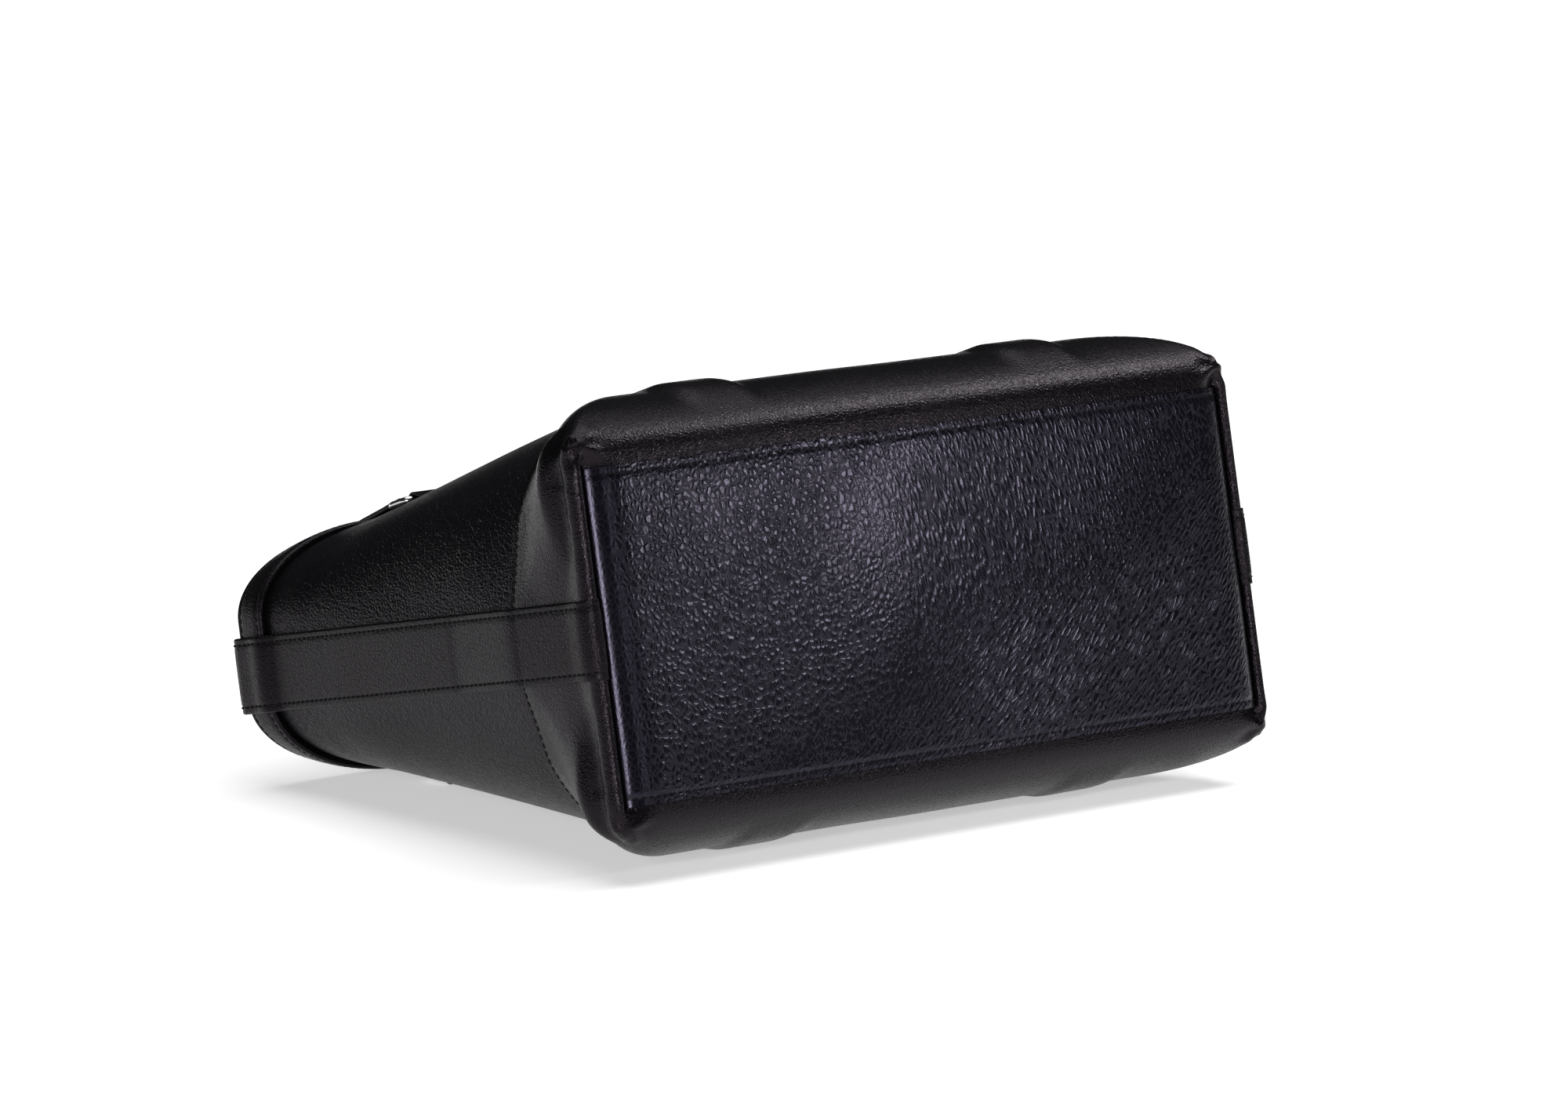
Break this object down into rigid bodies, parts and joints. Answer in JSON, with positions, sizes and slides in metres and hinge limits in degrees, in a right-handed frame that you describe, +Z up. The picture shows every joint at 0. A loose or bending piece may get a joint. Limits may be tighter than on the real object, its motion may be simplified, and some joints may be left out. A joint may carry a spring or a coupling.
{
  "type": "doctor bag",
  "caption": "Soft leather doctor bag with a stiff rounded base, tapering walls, a banded oval mouth, end straps and rolled handles, lying on its back face.",
  "frame": {"origin": "the centre of the bounding box's underside: the bag lies on its back face on the floor at Z 0", "axes": "+X along the length of the bag to its right end; +Y from the bottom panel to the mouth; +Z up, towards the front face"},
  "size_m": [0.4166, 0.4082, 0.2227],
  "materials": {
    "bottom_leather": "grained, semi-gloss, near black with a cool tint",
    "base_leather": "smooth, semi-gloss, near black",
    "body_leather": "pebbled, semi-gloss, near black with a warm tint",
    "trim_leather": "smooth strap leather, semi-gloss, near black, topstitched",
    "handle_leather": "smooth, rolled and stitched, near black",
    "sleeve_leather": "smooth, matte, near black",
    "handle_cord": "natural twisted cord",
    "lining_cloth": "matte woven cotton, dark brown",
    "base_board": "pressed fibreboard",
    "ring_metal": "polished nickel plate",
    "frame_steel": "brushed spring steel"
  },
  "bodies": {
    "bag": {"bottom_panel": "bottom_leather", "base_board": "base_board", "floor_lining": "lining_cloth", "front_base_wrap": "base_leather", "back_base_wrap": "base_leather", "front_body_panel": "body_leather", "back_body_panel": "body_leather", "front_lining": "lining_cloth", "back_lining": "lining_cloth", "front_rim_band": "trim_leather", "back_rim_band": "trim_leather", "left_end_strap": "trim_leather", "right_end_strap": "trim_leather", "front_left_leg_strap": "trim_leather", "front_right_leg_strap": "trim_leather", "back_left_leg_strap": "trim_leather", "back_right_leg_strap": "trim_leather", "inner_pocket": "lining_cloth", "left_frame_bracket": "frame_steel", "right_frame_bracket": "frame_steel", "bracket_rivets": "ring_metal", "left_hinge_pin": "ring_metal", "right_hinge_pin": "ring_metal"},
    "front_rings": {"front_left_ring": "ring_metal", "front_right_ring": "ring_metal"},
    "front_handle": {"front_handle_leather": "handle_leather", "front_handle_core": "handle_cord"},
    "back_rings": {"back_left_ring": "ring_metal", "back_right_ring": "ring_metal"},
    "back_handle": {"back_handle_leather": "handle_leather", "back_handle_core": "handle_cord"},
    "front_frame": {"front_frame_stay": "frame_steel", "front_frame_sleeve": "sleeve_leather", "front_snap": "ring_metal"},
    "back_frame": {"back_frame_stay": "frame_steel", "back_frame_sleeve": "sleeve_leather", "back_snap": "ring_metal"}
  },
  "joints": [
    {"name": "front_ring_swing", "type": "hinge", "parent": "bag", "child": "front_rings", "pos_m": [0, 0.08034, 0.13991], "axis": [1, 0, 0], "range_deg": [0, 110]},
    {"name": "front_handle_swing", "type": "hinge", "parent": "front_rings", "child": "front_handle", "pos_m": [0, 0.09352, 0.13519], "axis": [1, 0, 0], "range_deg": [0, 55]},
    {"name": "back_ring_swing", "type": "hinge", "parent": "bag", "child": "back_rings", "pos_m": [0, 0.05194, 0.0037], "axis": [-1, 0, 0], "range_deg": [0, 110]},
    {"name": "back_handle_swing", "type": "hinge", "parent": "back_rings", "child": "back_handle", "pos_m": [0, 0.06594, 0.0037], "axis": [-1, 0, 0], "range_deg": [0, 55]},
    {"name": "front_frame_fold", "type": "hinge", "parent": "bag", "child": "front_frame", "pos_m": [0, 0.10197, 0.05747], "axis": [-1, 0, 0], "range_deg": [0, 89]},
    {"name": "back_frame_fold", "type": "hinge", "parent": "bag", "child": "back_frame", "pos_m": [0, 0.10197, 0.05747], "axis": [1, 0, 0], "range_deg": [0, 89]}
  ]
}
